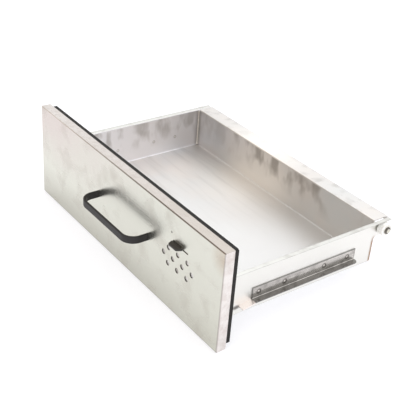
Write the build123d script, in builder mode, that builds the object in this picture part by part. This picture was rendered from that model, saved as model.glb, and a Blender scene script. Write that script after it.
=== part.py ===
"""Pull-out drawer of a small sterilizer cabinet, in folded stainless steel.

A hollow front panel carries a strap handle, a sliding vent and a rubber seal. Behind it sits an open
welded tray, with an angle rail on each side and a nylon roller on an ear at each rear corner.

Frame: +X to the drawer's right as its user sees it, +Y to the rear, +Z up, level as the drawer hangs
in its cabinet. The origin is the bottom centre of the whole drawer's bounding box. Millimetres.
"""

import os

from build123d import *

os.makedirs("parts", exist_ok=True)

# ---------------------------------------------------------------- driving dimensions
PANEL_W = 600.0  # front panel width
PANEL_H = 190.0  # front panel height
PANEL_T = 19.0  # front panel thickness, over its folded edges
SHEET = 1.2  # stainless sheet thickness
BEND_R = 1.5  # outside radius of the panel's folds
RETURN_W = 12.0  # width of the inward lips that carry the back skin

HANDLE_REACH = 39.0  # from the panel's face to the front of the handle
DRAWER_REACH = 400.0  # from the panel's face to the rear edge of the tray's flange

TRAY_IN_W = 540.0  # tray width, inside
TRAY_FLOOR_Z = 35.0  # top of the tray's floor
TRAY_RIM_Z = 120.0  # top of the tray's rim
TRAY_IN_REAR = 365.0  # from the panel's face to the inside of the tray's rear wall
RIM_W = 8.0  # width of the flat rim outside each side wall
FOLD_R = 2.2  # outside radius of the tray's top folds
FLOOR_R = 2.0  # inside radius between floor and side walls

EAR_REACH = 397.0  # from the panel's face to the rear end of the side ears
EAR_BOTTOM_Z = 88.0  # underside of the side ears
EAR_INNER_R = 8.0  # hollow curve between ear and side wall
EAR_TIP_R = 12.0  # lower rear corner of each ear

RAIL_T = 1.5  # thickness of the angle rails
RAIL_TOP_Z = 77.5  # top edge of a rail's upright leg
RAIL_SHELF_Z = 56.3  # top of a rail's flat leg
RAIL_SHELF_W = 13.0  # width of a rail's flat leg
RAIL_START = 88.0  # front end of a rail's upright leg, from the panel's face
RAIL_END = 322.0  # rear end of a rail
RAMP_START = 62.0  # front end of the ramp on a rail's flat leg
RAMP_DROP = 4.8  # how far the ramp falls towards the front
RAIL_WELDS = (102.0, 158.0, 248.0, 303.0)  # spot welds along a rail
WELD_SPOT_R = 3.0
WELD_SPOT_DEPTH = 0.4

ROLLER_R = 13.0
ROLLER_W = 13.0
ROLLER_FROM_FACE = 381.0  # roller axis, from the panel's face
ROLLER_Z = 105.0
AXLE_R = 4.0
RUNNING = 0.06  # radial clearance of a roller on its axle

SEAL_T = 8.0  # thickness of the rubber seal
SEAL_W = 8.5  # width of the rubber seal
SEAL_LEFT = 12.0  # how far the seal stops short of the panel's left and bottom edges
SEAL_EDGE = 0.8  # how far it stops short of the panel's right and top edges
SEAL_CORNER = 2.5  # trimmed outer corner at the top right

HANDLE_X = 5.0  # centre of the handle
HANDLE_Z = 102.2
HANDLE_W = 172.0  # over the legs
STRAP_H = 13.5
STRAP_T = 4.6
STRAP_R = 26.0  # outside radius of the strap's two bends
STUD_R = 2.0

HOLE_R = 4.9  # vent holes
HOLE_PITCH = 26.8
HOLE_ROWS = ((118.4, 3), (103.2, 4), (88.0, 3))  # height of each row, and holes in it
VENT_X = 181.0  # centre of the vent holes
VENT_TRAVEL = 16.5  # how far the damper slides, from shut to fully open
TAB_Z = 136.0
TAB_X = 178.5  # centre of the tab with the vent shut
TAB_W = 24.0
SLOT_H = 3.2

BOLT_R = 2.5  # screws that hold the tray to the panel
BOLT_SPOTS = ((-235, 60), (-235, 100), (0, 50), (60, 100), (235, 60), (235, 100))

# ---------------------------------------------------------------- worked out from them
DEPTH = HANDLE_REACH + DRAWER_REACH
FACE_Y = HANDLE_REACH - DEPTH / 2  # the panel's front face
HALF_IN = TRAY_IN_W / 2
HALF_OUT = HALF_IN + SHEET
UNDER_Z = TRAY_FLOOR_Z - SHEET
PANEL_BACK_Y = FACE_Y + PANEL_T
LIP_Y = PANEL_BACK_Y - 2 * SHEET  # front of the inward lips
REAR_IN_Y = FACE_Y + TRAY_IN_REAR
REAR_OUT_Y = REAR_IN_Y + SHEET
ROLLER_Y = FACE_Y + ROLLER_FROM_FACE


def facing(y):
    """A plane across the drawer at y: local x is +X and local y is +Z. It extrudes towards the front."""
    return Plane.XZ.offset(-y)


def save(solid, name):
    """Names a finished piece and writes it."""
    solid.label = name
    export_step(solid, f"parts/{name}.step")


def hole_centres(rows=HOLE_ROWS, shift=0.0):
    """Centres (x, z) of staggered rows of vent holes, moved sideways by shift."""
    spots = []
    for z, count in rows:
        for i in range(count):
            spots.append((VENT_X + shift + (i - (count - 1) / 2) * HOLE_PITCH, z))
    return spots


# ---------------------------------------------------------------- front panel
STUD_SPOTS = [
    (HANDLE_X - HANDLE_W / 2 + STRAP_T / 2, HANDLE_Z),
    (HANDLE_X + HANDLE_W / 2 - STRAP_T / 2, HANDLE_Z),
]
SLOT_LEFT = TAB_X - TAB_W / 2 - 1.0
SLOT_RIGHT = TAB_X + TAB_W / 2 + VENT_TRAVEL + 1.6

# One folded sheet: the face, four edges and four inward lips.
with BuildPart() as front_skin:
    with BuildSketch(facing(FACE_Y)):
        with Locations((0, PANEL_H / 2)):
            Rectangle(PANEL_W, PANEL_H)
    extrude(amount=-PANEL_T)
    fillet(front_skin.faces().sort_by(Axis.Y)[0].edges(), BEND_R)
    with BuildSketch(facing(FACE_Y + SHEET)):
        with Locations((0, PANEL_H / 2)):
            Rectangle(PANEL_W - 2 * SHEET, PANEL_H - 2 * SHEET)
    extrude(amount=-(LIP_Y - FACE_Y - SHEET), mode=Mode.SUBTRACT)
    with BuildSketch(facing(LIP_Y)):
        with Locations((0, PANEL_H / 2)):
            Rectangle(PANEL_W - 2 * RETURN_W, PANEL_H - 2 * RETURN_W)
    extrude(amount=-SHEET, mode=Mode.SUBTRACT)
    with BuildSketch(facing(LIP_Y + SHEET)):
        with Locations((0, PANEL_H / 2)):
            Rectangle(PANEL_W - 2 * SHEET, PANEL_H - 2 * SHEET)
    extrude(amount=-SHEET, mode=Mode.SUBTRACT)
    with BuildSketch(facing(FACE_Y)):
        with Locations(*hole_centres()):
            Circle(HOLE_R)
        with Locations(((SLOT_LEFT + SLOT_RIGHT) / 2, TAB_Z)):
            SlotOverall(SLOT_RIGHT - SLOT_LEFT, SLOT_H)
        with Locations(*STUD_SPOTS):
            Circle(STUD_R + 0.25)
    extrude(amount=-2 * SHEET, mode=Mode.SUBTRACT)
save(front_skin.part, "front_skin")

# The flat back skin lies on the lips, flush with the panel's edges. Air that comes through the face
# leaves it higher up, by holes above the tray's rim, so nothing in the tray can block them.
BACK_GAP = 0.2
BACK_ROWS = ((130.0, 4), (145.2, 3))
with BuildPart() as back_skin:
    with BuildSketch(facing(LIP_Y + SHEET)):
        with Locations((0, PANEL_H / 2)):
            Rectangle(PANEL_W - 2 * (SHEET + BACK_GAP), PANEL_H - 2 * (SHEET + BACK_GAP))
        with Locations(*hole_centres(BACK_ROWS)):
            Circle(HOLE_R, mode=Mode.SUBTRACT)
        with Locations(*BOLT_SPOTS):
            Circle(BOLT_R + 0.25, mode=Mode.SUBTRACT)
    extrude(amount=-SHEET)
save(back_skin.part, "back_skin")

# Mineral wool board between the skins, cut away round the vent, the studs and the nuts.
WOOL_FRONT_Y = FACE_Y + 4.5
WOOL_T = LIP_Y - 0.4 - WOOL_FRONT_Y
with BuildPart() as insulation_board:
    with BuildSketch(facing(WOOL_FRONT_Y)):
        with Locations((0, PANEL_H / 2)):
            Rectangle(PANEL_W - 30, PANEL_H - 30)
        with Locations((VENT_X + 3, 107)):
            Rectangle(166, 92, mode=Mode.SUBTRACT)
        with Locations(*STUD_SPOTS):
            Circle(9, mode=Mode.SUBTRACT)
        with Locations(*BOLT_SPOTS):
            Circle(9, mode=Mode.SUBTRACT)
    extrude(amount=-WOOL_T)
save(insulation_board.part, "insulation_board")

# ---------------------------------------------------------------- rubber seal
# Four strips with mitred ends, glued round the back of the panel.
SEAL_X0 = -PANEL_W / 2 + SEAL_LEFT
SEAL_X1 = PANEL_W / 2 - SEAL_EDGE
SEAL_Z0 = SEAL_LEFT - 1
SEAL_Z1 = PANEL_H - SEAL_EDGE
SEAL_OUT = [(SEAL_X0, SEAL_Z0), (SEAL_X1, SEAL_Z0), (SEAL_X1, SEAL_Z1), (SEAL_X0, SEAL_Z1)]
SEAL_IN = [
    (SEAL_X0 + SEAL_W, SEAL_Z0 + SEAL_W),
    (SEAL_X1 - SEAL_W, SEAL_Z0 + SEAL_W),
    (SEAL_X1 - SEAL_W, SEAL_Z1 - SEAL_W),
    (SEAL_X0 + SEAL_W, SEAL_Z1 - SEAL_W),
]
for i, name in enumerate(("seal_bottom", "seal_right", "seal_top", "seal_left")):
    j = (i + 1) % 4
    with BuildPart() as seal:
        with BuildSketch(facing(PANEL_BACK_Y)):
            with BuildLine():
                Polyline(SEAL_OUT[i], SEAL_OUT[j], SEAL_IN[j], SEAL_IN[i], close=True)
            make_face()
            with Locations((SEAL_X1, SEAL_Z1)):
                Rectangle(SEAL_CORNER * 2**0.5, SEAL_CORNER * 2**0.5, rotation=45, mode=Mode.SUBTRACT)
        extrude(amount=-SEAL_T)
    save(seal.part, name)

# ---------------------------------------------------------------- handle
# A flat strap bent to a bow. A stud welded in the end of each leg goes through the face.
HANDLE_LEFT = HANDLE_X - HANDLE_W / 2
HANDLE_RIGHT = HANDLE_X + HANDLE_W / 2
HANDLE_FRONT_Y = FACE_Y - HANDLE_REACH
with BuildPart() as handle:
    with BuildSketch(Plane.XY.offset(HANDLE_Z - STRAP_H / 2)):
        with BuildLine():
            FilletPolyline(
                (HANDLE_LEFT, FACE_Y),
                (HANDLE_LEFT, HANDLE_FRONT_Y),
                (HANDLE_RIGHT, HANDLE_FRONT_Y),
                (HANDLE_RIGHT, FACE_Y),
                radius=STRAP_R,
            )
            Line((HANDLE_RIGHT, FACE_Y), (HANDLE_RIGHT - STRAP_T, FACE_Y))
            FilletPolyline(
                (HANDLE_RIGHT - STRAP_T, FACE_Y),
                (HANDLE_RIGHT - STRAP_T, HANDLE_FRONT_Y + STRAP_T),
                (HANDLE_LEFT + STRAP_T, HANDLE_FRONT_Y + STRAP_T),
                (HANDLE_LEFT + STRAP_T, FACE_Y),
                radius=STRAP_R - STRAP_T,
            )
            Line((HANDLE_LEFT + STRAP_T, FACE_Y), (HANDLE_LEFT, FACE_Y))
        make_face()
    extrude(amount=STRAP_H)
    bow_edges = handle.faces().sort_by(Axis.Z)[0].edges() + handle.faces().sort_by(Axis.Z)[-1].edges()
    fillet(bow_edges.filter_by(lambda e: e.center().Y < FACE_Y - 0.01), 0.9)
save(handle.part, "handle")

STUD_LENGTH = 8.0
with BuildPart() as handle_studs:
    with BuildSketch(facing(FACE_Y)):
        with Locations(*STUD_SPOTS):
            Circle(STUD_R)
    extrude(amount=-STUD_LENGTH)
    chamfer(handle_studs.faces().sort_by(Axis.Y)[-2:].edges(), 0.4)
save(handle_studs.part, "handle_studs")

WASHER_T = 0.8
with BuildPart() as handle_washers:
    with BuildSketch(facing(FACE_Y + SHEET)):
        with Locations(*STUD_SPOTS):
            Circle(4.5)
            Circle(STUD_R + 0.15, mode=Mode.SUBTRACT)
    extrude(amount=-WASHER_T)
save(handle_washers.part, "handle_washers")

with BuildPart() as handle_nuts:
    with BuildSketch(facing(FACE_Y + SHEET + WASHER_T)):
        with Locations(*STUD_SPOTS):
            RegularPolygon(3.5, 6, major_radius=False)
            Circle(STUD_R, mode=Mode.SUBTRACT)
    extrude(amount=-3.2)
save(handle_nuts.part, "handle_nuts")

# ---------------------------------------------------------------- sliding vent
# The damper lies just behind the face, held by two stepped guides that are welded to it.
DAMPER_T = 1.0
DAMPER_GAP = 0.2
DAMPER_X0 = 112.0
DAMPER_X1 = 232.0
DAMPER_Z0 = 77.0
DAMPER_Z1 = 142.0
DAMPER_Y = FACE_Y + SHEET + DAMPER_GAP
TAB_T = 1.2
TAB_REACH = 6.4  # how far the steel tab stands out of the face
GUIDE_T = 1.0
GUIDE_FOOT = 7.0
GUIDE_LIP = 4.5
with BuildPart() as vent_damper:
    with BuildSketch(facing(DAMPER_Y)):
        with Locations(((DAMPER_X0 + DAMPER_X1) / 2, (DAMPER_Z0 + DAMPER_Z1) / 2)):
            RectangleRounded(DAMPER_X1 - DAMPER_X0, DAMPER_Z1 - DAMPER_Z0, 2)
        with Locations(*hole_centres(shift=-VENT_TRAVEL)):
            Circle(HOLE_R, mode=Mode.SUBTRACT)
    extrude(amount=-DAMPER_T)
    with BuildSketch(facing(DAMPER_Y)):
        with Locations((TAB_X, TAB_Z)):
            Rectangle(TAB_W, TAB_T)
    extrude(amount=DAMPER_GAP + SHEET + TAB_REACH)
save(vent_damper.part, "vent_damper")

GRIP_W = 32.0  # at the face
GRIP_TIP_W = 22.0
GRIP_H = 3.6
GRIP_REACH = 11.0
GRIP_BACK = 0.5  # gap between the grip and the face
with BuildPart() as vent_grip:
    with BuildSketch(Plane.XY.offset(TAB_Z - GRIP_H / 2)):
        with BuildLine():
            Polyline(
                (TAB_X - GRIP_W / 2, FACE_Y - GRIP_BACK),
                (TAB_X + GRIP_W / 2, FACE_Y - GRIP_BACK),
                (TAB_X + GRIP_TIP_W / 2, FACE_Y - GRIP_REACH),
                (TAB_X - GRIP_TIP_W / 2, FACE_Y - GRIP_REACH),
                close=True,
            )
        make_face()
        fillet(vertices().sort_by(Axis.Y)[:2], 3.5)
        fillet(vertices().sort_by(Axis.Y)[-2:], 1.0)
    extrude(amount=GRIP_H)
    fillet(vent_grip.faces().sort_by(Axis.Z)[-1].edges() + vent_grip.faces().sort_by(Axis.Z)[0].edges(), 0.9)
    with BuildSketch(facing(FACE_Y - GRIP_BACK)):
        with Locations((TAB_X, TAB_Z)):
            Rectangle(TAB_W, TAB_T)
    extrude(amount=TAB_REACH - GRIP_BACK, mode=Mode.SUBTRACT)
save(vent_grip.part, "vent_grip")

GUIDE_X0 = DAMPER_X0 - 6
GUIDE_X1 = DAMPER_X1 + VENT_TRAVEL + 4
for name, edge_z, way in (("vent_guide_lower", DAMPER_Z0 - 0.3, 1), ("vent_guide_upper", DAMPER_Z1 + 0.3, -1)):
    skin_y = FACE_Y + SHEET
    lip_y = DAMPER_Y + DAMPER_T + DAMPER_GAP
    with BuildPart() as vent_guide:
        with BuildSketch(Plane.YZ.offset(GUIDE_X0)):
            with BuildLine():
                Polyline(
                    (skin_y, edge_z - way * GUIDE_FOOT),
                    (skin_y, edge_z),
                    (lip_y, edge_z),
                    (lip_y, edge_z + way * GUIDE_LIP),
                    (lip_y + GUIDE_T, edge_z + way * GUIDE_LIP),
                    (lip_y + GUIDE_T, edge_z - way * GUIDE_T),
                    (skin_y + GUIDE_T, edge_z - way * GUIDE_T),
                    (skin_y + GUIDE_T, edge_z - way * GUIDE_FOOT),
                    close=True,
                )
            make_face()
        extrude(amount=GUIDE_X1 - GUIDE_X0)
    save(vent_guide.part, name)

# ---------------------------------------------------------------- tray
# Floor, side walls, rims and ears are one folded sheet, open at both ends.
RIM_X = HALF_OUT + RIM_W
with BuildPart() as tray_shell:
    with BuildSketch(facing(PANEL_BACK_Y)) as section:
        with BuildLine():
            Polyline(
                (-RIM_X, TRAY_RIM_Z),
                (-HALF_IN, TRAY_RIM_Z),
                (-HALF_IN, TRAY_FLOOR_Z),
                (HALF_IN, TRAY_FLOOR_Z),
                (HALF_IN, TRAY_RIM_Z),
                (RIM_X, TRAY_RIM_Z),
                (RIM_X, TRAY_RIM_Z - SHEET),
                (HALF_OUT, TRAY_RIM_Z - SHEET),
                (HALF_OUT, UNDER_Z),
                (-HALF_OUT, UNDER_Z),
                (-HALF_OUT, TRAY_RIM_Z - SHEET),
                (-RIM_X, TRAY_RIM_Z - SHEET),
                close=True,
            )
        make_face()
        inner = section.vertices().filter_by(lambda v: abs(abs(v.X) - HALF_IN) < 0.01)
        fillet(inner.group_by(Axis.Y)[0], FLOOR_R)
        inner = section.vertices().filter_by(lambda v: abs(abs(v.X) - HALF_IN) < 0.01)
        fillet(inner.filter_by(lambda v: v.Y > TRAY_RIM_Z - 1), FOLD_R)
        outer = section.vertices().filter_by(lambda v: abs(abs(v.X) - HALF_OUT) < 0.01)
        fillet(outer.group_by(Axis.Y)[0], FLOOR_R + SHEET)
        outer = section.vertices().filter_by(lambda v: abs(abs(v.X) - HALF_OUT) < 0.01)
        fillet(outer.filter_by(lambda v: v.Y > TRAY_RIM_Z - 2), FOLD_R - SHEET)
    extrude(amount=-(FACE_Y + EAR_REACH - PANEL_BACK_Y))
    ear_tip_y = FACE_Y + EAR_REACH
    with BuildSketch(Plane.YZ):
        with BuildLine():
            Polyline(
                (ear_tip_y + 5, UNDER_Z - 5),
                (REAR_OUT_Y, UNDER_Z - 5),
                (REAR_OUT_Y, EAR_BOTTOM_Z - EAR_INNER_R),
            )
            RadiusArc(
                (REAR_OUT_Y, EAR_BOTTOM_Z - EAR_INNER_R),
                (REAR_OUT_Y + EAR_INNER_R, EAR_BOTTOM_Z),
                EAR_INNER_R,
            )
            Line((REAR_OUT_Y + EAR_INNER_R, EAR_BOTTOM_Z), (ear_tip_y - EAR_TIP_R, EAR_BOTTOM_Z))
            RadiusArc(
                (ear_tip_y - EAR_TIP_R, EAR_BOTTOM_Z),
                (ear_tip_y, EAR_BOTTOM_Z + EAR_TIP_R),
                -EAR_TIP_R,
            )
            Polyline(
                (ear_tip_y, EAR_BOTTOM_Z + EAR_TIP_R),
                (ear_tip_y + 5, EAR_BOTTOM_Z + EAR_TIP_R),
                (ear_tip_y + 5, UNDER_Z - 5),
            )
        make_face()
    extrude(amount=PANEL_W / 2, both=True, mode=Mode.SUBTRACT)
    with BuildSketch(Plane.YZ):
        with Locations((ROLLER_Y, ROLLER_Z)):
            Circle(AXLE_R + 0.1)
    extrude(amount=PANEL_W / 2, both=True, mode=Mode.SUBTRACT)
save(tray_shell.part, "tray_shell")

# The rear wall stands between the side walls and folds back to a flange with a turned-down lip.
FLANGE_HALF = HALF_IN - 3.0
FLANGE_LIP = 10.0
with BuildPart() as tray_rear_wall:
    with BuildSketch(facing(REAR_IN_Y)) as rear_face:
        with Locations((0, (TRAY_FLOOR_Z + TRAY_RIM_Z - 4) / 2)):
            Rectangle(TRAY_IN_W, TRAY_RIM_Z - 4 - TRAY_FLOOR_Z)
        fillet(rear_face.vertices().group_by(Axis.Y)[0], FLOOR_R + 0.1)
    extrude(amount=-SHEET)
    with BuildSketch(Plane.YZ) as flange_side:
        flange_end_y = FACE_Y + DRAWER_REACH
        with BuildLine():
            Polyline(
                (REAR_IN_Y, TRAY_RIM_Z - 4),
                (REAR_IN_Y, TRAY_RIM_Z),
                (flange_end_y, TRAY_RIM_Z),
                (flange_end_y, TRAY_RIM_Z - FLANGE_LIP),
                (flange_end_y - SHEET, TRAY_RIM_Z - FLANGE_LIP),
                (flange_end_y - SHEET, TRAY_RIM_Z - SHEET),
                (REAR_OUT_Y, TRAY_RIM_Z - SHEET),
                (REAR_OUT_Y, TRAY_RIM_Z - 4),
                close=True,
            )
        make_face()
        top_corners = flange_side.vertices().filter_by(lambda v: abs(v.Y - TRAY_RIM_Z) < 0.01)
        fillet(top_corners, FOLD_R)
        under = flange_side.vertices().filter_by(lambda v: abs(v.Y - TRAY_RIM_Z + SHEET) < 0.01)
        fillet(under, FOLD_R - SHEET)
    extrude(amount=FLANGE_HALF, both=True)
save(tray_rear_wall.part, "tray_rear_wall")

# The front wall lies against the panel's back skin.
with BuildPart() as tray_front_wall:
    with BuildSketch(facing(PANEL_BACK_Y)) as front_face:
        with Locations((0, (TRAY_FLOOR_Z + TRAY_RIM_Z) / 2)):
            Rectangle(TRAY_IN_W, TRAY_RIM_Z - TRAY_FLOOR_Z)
        fillet(front_face.vertices().group_by(Axis.Y)[0], FLOOR_R + 0.1)
        fillet(front_face.vertices().group_by(Axis.Y)[-1], FOLD_R)
        with Locations(*BOLT_SPOTS):
            Circle(BOLT_R + 0.25, mode=Mode.SUBTRACT)
    extrude(amount=-SHEET)
save(tray_front_wall.part, "tray_front_wall")

# Weld beads down the four inside corners.
BEAD = 1.6
BEAD_SPOTS = (
    (-1, PANEL_BACK_Y + SHEET, 1),
    (1, PANEL_BACK_Y + SHEET, 1),
    (-1, REAR_IN_Y, -1),
    (1, REAR_IN_Y, -1),
)
with BuildPart() as corner_welds:
    with BuildSketch(Plane.XY.offset(TRAY_FLOOR_Z + FLOOR_R + 0.4)):
        for side, y, way in BEAD_SPOTS:
            with BuildLine():
                corner = (side * HALF_IN, y)
                along_x = (side * (HALF_IN - BEAD), y)
                along_y = (side * HALF_IN, y + way * BEAD)
                Line(corner, along_x)
                ThreePointArc(
                    along_x,
                    (side * (HALF_IN - BEAD * 0.62), y + way * BEAD * 0.62),
                    along_y,
                )
                Line(along_y, corner)
            make_face()
    extrude(amount=TRAY_RIM_Z - 6 - TRAY_FLOOR_Z)
save(corner_welds.part, "corner_welds")

# ---------------------------------------------------------------- tray to panel
NUT_T = 4.0
with BuildPart() as panel_screws:
    with BuildSketch(facing(PANEL_BACK_Y + SHEET)):
        with Locations(*BOLT_SPOTS):
            Circle(4.75)
    extrude(amount=-2.6)
    head_tops = panel_screws.faces().sort_by(Axis.Y)[-len(BOLT_SPOTS) :]
    fillet(head_tops.edges(), 1.6)
    with BuildSketch(facing(PANEL_BACK_Y + SHEET + 2.6)):
        with Locations(*BOLT_SPOTS):
            RegularPolygon(1.5, 6, major_radius=False)
    extrude(amount=1.6, mode=Mode.SUBTRACT)
    with BuildSketch(facing(PANEL_BACK_Y + SHEET)):
        with Locations(*BOLT_SPOTS):
            Circle(BOLT_R)
    extrude(amount=2 * SHEET + NUT_T + 1.5)
save(panel_screws.part, "panel_screws")

with BuildPart() as panel_nuts:
    with BuildSketch(facing(PANEL_BACK_Y - SHEET)):
        with Locations(*BOLT_SPOTS):
            RegularPolygon(4.0, 6, major_radius=False)
            Circle(BOLT_R, mode=Mode.SUBTRACT)
    extrude(amount=NUT_T)
save(panel_nuts.part, "panel_nuts")

# ---------------------------------------------------------------- rails
# An angle on each side wall. Its flat leg runs on past the upright one as a short falling ramp.
with BuildPart() as rail:
    with BuildSketch(facing(FACE_Y + RAIL_START)) as angle:
        with BuildLine():
            Polyline(
                (HALF_OUT, RAIL_SHELF_Z - RAIL_T),
                (HALF_OUT + RAIL_SHELF_W, RAIL_SHELF_Z - RAIL_T),
                (HALF_OUT + RAIL_SHELF_W, RAIL_SHELF_Z),
                (HALF_OUT + RAIL_T, RAIL_SHELF_Z),
                (HALF_OUT + RAIL_T, RAIL_TOP_Z),
                (HALF_OUT, RAIL_TOP_Z),
                close=True,
            )
        make_face()
    extrude(amount=-(RAIL_END - RAIL_START))
    inside_bend = rail.edges().filter_by(Axis.Y).filter_by(
        lambda e: abs(e.center().X - HALF_OUT - RAIL_T) < 0.01 and abs(e.center().Z - RAIL_SHELF_Z) < 0.01
    )
    fillet(inside_bend, 1.0)
    with BuildSketch(Plane.YZ.offset(HALF_OUT)):
        with BuildLine():
            Polyline(
                (FACE_Y + RAIL_START, RAIL_SHELF_Z),
                (FACE_Y + RAMP_START, RAIL_SHELF_Z - RAMP_DROP),
                (FACE_Y + RAMP_START, RAIL_SHELF_Z - RAMP_DROP - RAIL_T),
                (FACE_Y + RAIL_START, RAIL_SHELF_Z - RAIL_T),
                close=True,
            )
        make_face()
    extrude(amount=RAIL_SHELF_W)
    rear_corner = rail.edges().filter_by(Axis.Z).filter_by(
        lambda e: e.center().X > HALF_OUT + RAIL_SHELF_W - 0.1 and e.center().Y > FACE_Y + RAIL_END - 0.1
    )
    fillet(rear_corner, 8.0)
    with BuildSketch(Plane.YZ.offset(HALF_OUT + RAIL_T)):
        with Locations(*[(FACE_Y + y, (RAIL_TOP_Z + RAIL_SHELF_Z) / 2) for y in RAIL_WELDS]):
            Circle(WELD_SPOT_R)
    extrude(amount=-WELD_SPOT_DEPTH, mode=Mode.SUBTRACT)
save(rail.part, "rail_right")
save(mirror(rail.part, about=Plane.YZ), "rail_left")

# ---------------------------------------------------------------- rollers
# Each roller turns on a shouldered axle riveted through the ear, and a clip keeps it on.
AXLE_HEAD_R = 6.5
AXLE_HEAD_T = 1.6
COLLAR_R = 7.5
COLLAR_T = 1.6
SIDE_PLAY = 0.3
CLIP_T = 1.0
GROOVE_R = 3.0
ROLLER_X0 = HALF_OUT + COLLAR_T + SIDE_PLAY
ROLLER_X1 = ROLLER_X0 + ROLLER_W
THRUST_T = 0.8
THRUST_X = ROLLER_X1 + SIDE_PLAY
CLIP_X = THRUST_X + THRUST_T + 0.1
AXLE_END_X = CLIP_X + CLIP_T + 1.9


def disc(x0, x1, radius, mode=Mode.ADD):
    """A round disc on the roller's axis, from x0 to x1."""
    with Locations((x0, ROLLER_Y, ROLLER_Z)):
        Cylinder(
            radius,
            x1 - x0,
            rotation=(0, 90, 0),
            align=(Align.CENTER, Align.CENTER, Align.MIN),
            mode=mode,
        )


with BuildPart() as roller:
    disc(ROLLER_X0, ROLLER_X1, ROLLER_R)
    rims = roller.edges().filter_by(GeomType.CIRCLE)
    fillet(rims, 1.6)
    disc(ROLLER_X1 - 1.2, ROLLER_X1, ROLLER_R - 2.6, Mode.SUBTRACT)
    disc(ROLLER_X1 - 1.2, ROLLER_X1, COLLAR_R)
    disc(ROLLER_X0, ROLLER_X1, AXLE_R + RUNNING, Mode.SUBTRACT)
save(roller.part, "roller_right")
save(mirror(roller.part, about=Plane.YZ), "roller_left")

with BuildPart() as axle:
    disc(HALF_IN - AXLE_HEAD_T, HALF_IN, AXLE_HEAD_R)
    fillet(axle.faces().sort_by(Axis.X)[0].edges(), 1.2)
    disc(HALF_IN, AXLE_END_X, AXLE_R)
    disc(HALF_OUT, HALF_OUT + COLLAR_T, COLLAR_R)
    chamfer(axle.faces().sort_by(Axis.X)[-1].edges(), 0.6)
    with BuildSketch(Plane.YZ.offset(CLIP_X - 0.05)):
        with Locations((ROLLER_Y, ROLLER_Z)):
            Circle(AXLE_R + 1)
            Circle(GROOVE_R, mode=Mode.SUBTRACT)
    extrude(amount=CLIP_T + 0.1, mode=Mode.SUBTRACT)
save(axle.part, "axle_right")
save(mirror(axle.part, about=Plane.YZ), "axle_left")

with BuildPart() as thrust_washer:
    disc(THRUST_X, THRUST_X + THRUST_T, COLLAR_R)
    disc(THRUST_X, THRUST_X + THRUST_T, AXLE_R + 0.1, Mode.SUBTRACT)
save(thrust_washer.part, "thrust_washer_right")
save(mirror(thrust_washer.part, about=Plane.YZ), "thrust_washer_left")

# An E shaped clip: a ring open at the rear, with three inner lugs in the axle's groove.
with BuildPart() as clip:
    with BuildSketch(Plane.YZ.offset(CLIP_X)):
        with Locations((ROLLER_Y, ROLLER_Z)):
            Circle(6.6)
            Circle(4.7, mode=Mode.SUBTRACT)
        with Locations((ROLLER_Y + 6, ROLLER_Z - 6)):
            Rectangle(12, 5.6, rotation=-45, mode=Mode.SUBTRACT)
        for angle_deg in (45, 135, 225):
            with Locations(Location((ROLLER_Y, ROLLER_Z), angle_deg)):
                with Locations((4.3, 0)):
                    Rectangle(2.4, 2.6)
    extrude(amount=CLIP_T)
save(clip.part, "clip_right")
save(mirror(clip.part, about=Plane.YZ), "clip_left")
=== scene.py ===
# %% [markdown]
# # A stainless drawer from a sterilizer cabinet
# The real thing is a welded steel tray behind a hollow front panel, lying by itself on a white table.
# Steel sheet, a black handle, a rubber seal and nylon rollers are all it is made of, so this lesson is
# mostly about how satin metal looks, and about where hands, welds and wear have marked it.
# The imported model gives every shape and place. Blender adds softer pieces and all the finishes.

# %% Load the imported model
import math

import bpy
import mathutils
import numpy as np
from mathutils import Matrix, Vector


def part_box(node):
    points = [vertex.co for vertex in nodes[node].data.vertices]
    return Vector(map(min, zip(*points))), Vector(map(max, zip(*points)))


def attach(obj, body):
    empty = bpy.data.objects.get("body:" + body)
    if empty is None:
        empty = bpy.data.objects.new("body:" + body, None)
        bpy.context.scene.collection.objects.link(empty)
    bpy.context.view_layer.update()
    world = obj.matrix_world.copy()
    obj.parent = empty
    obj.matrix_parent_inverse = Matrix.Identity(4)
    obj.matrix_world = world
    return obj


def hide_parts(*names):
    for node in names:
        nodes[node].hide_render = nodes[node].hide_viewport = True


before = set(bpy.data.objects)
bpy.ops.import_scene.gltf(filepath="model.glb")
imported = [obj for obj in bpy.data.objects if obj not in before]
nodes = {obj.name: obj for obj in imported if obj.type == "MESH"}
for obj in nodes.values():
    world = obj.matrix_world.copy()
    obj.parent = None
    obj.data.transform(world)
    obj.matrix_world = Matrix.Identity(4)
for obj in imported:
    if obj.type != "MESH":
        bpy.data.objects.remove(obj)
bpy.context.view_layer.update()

# %% [markdown]
# ## Places
# The panel's face, the tray's walls, the rails, the handle and the rollers are measured once here, from the
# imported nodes, and used below. They could be typed in as numbers, but measured ones can't go out of date.

# %% Measure the drawer
MM = 0.001
face_low, face_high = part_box("front_skin")
shell_low, shell_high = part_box("tray_shell")
rear_low, rear_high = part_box("tray_rear_wall")
rail_low, rail_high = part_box("rail_right")
bow_low, bow_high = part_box("handle")
roller_low, roller_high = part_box("roller_right")
weld_low, weld_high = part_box("corner_welds")

FACE_Y = face_low.y
PANEL_BACK_Y = face_high.y
WALL_IN = rear_high.x
REAR_IN = rear_low.y
FLOOR_Z = rear_low.z
RIM_Z = shell_high.z
SHEET = FLOOR_Z - shell_low.z
print("panel face at y", round(FACE_Y, 4), "tray floor at z", round(FLOOR_Z, 4))

# %% [markdown]
# ## Helpers for finishes
# Colours are picked as sRGB hex values, as on a screen, and shaders want linear light, so one function
# turns the one into the other. Another adds any shader node with its settings and its links, which keeps
# each material readable as a list of what feeds what. A noise texture's Scale is its number of cells in a
# metre, so a scale of 22 gives blots that are about 45 mm apart.

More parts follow.
